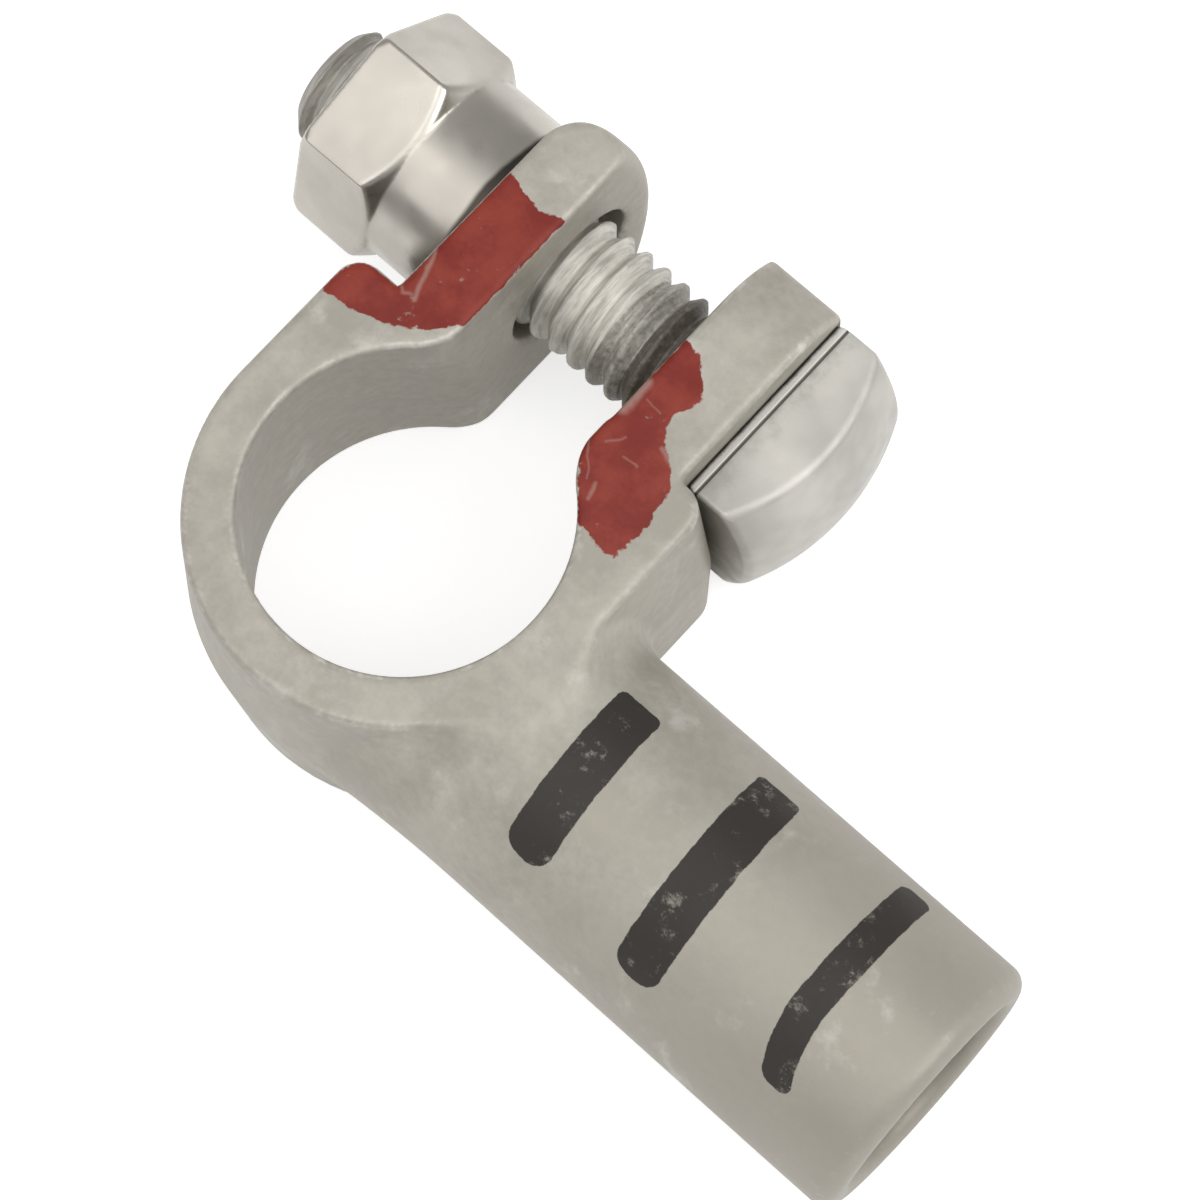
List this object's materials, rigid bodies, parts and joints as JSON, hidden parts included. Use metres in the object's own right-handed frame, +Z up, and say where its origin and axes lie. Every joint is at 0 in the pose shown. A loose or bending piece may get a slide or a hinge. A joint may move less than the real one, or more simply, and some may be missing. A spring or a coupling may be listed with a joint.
{
  "type": "battery terminal clamp",
  "caption": "Cast split-ring battery post clamp with a tapered bore, an offset cable barrel, a square-head clamp bolt and a collared nut.",
  "frame": {"origin": "on the battery post's axis, at the clamp's bottom face", "axes": "+X along the cable barrel, out of the cable mouth; +Y from the post towards the ears; +Z up the post, towards its narrow end"},
  "size_m": [0.0645, 0.0381, 0.017],
  "materials": {
    "tinned_casting": "dull tin plating over cast brass, with red paint beside the slot and black ink on the barrel",
    "bolt_steel": "plated steel, mottled crown, rolled thread",
    "nut_steel": "smooth bright steel"
  },
  "bodies": {
    "clamp": {"clamp_body": "tinned_casting"},
    "bolt": {"clamp_bolt": "bolt_steel"},
    "nut": {"clamp_nut": "nut_steel"}
  },
  "joints": [
    {"name": "nut_turn", "type": "hinge", "parent": "clamp", "child": "nut", "pos_m": [-0.00912, 0.01786, 0.0085], "axis": [-1, 0, 0], "range_deg": [0, 720]},
    {"name": "bolt_slide", "type": "slide", "parent": "clamp", "child": "bolt", "axis": [1, 0, 0], "range_m": [0, 0.00282]}
  ],
  "couplings": [
    {"joint": "nut_turn", "follows": "bolt_slide", "rad_per_m": 4452.9}
  ]
}
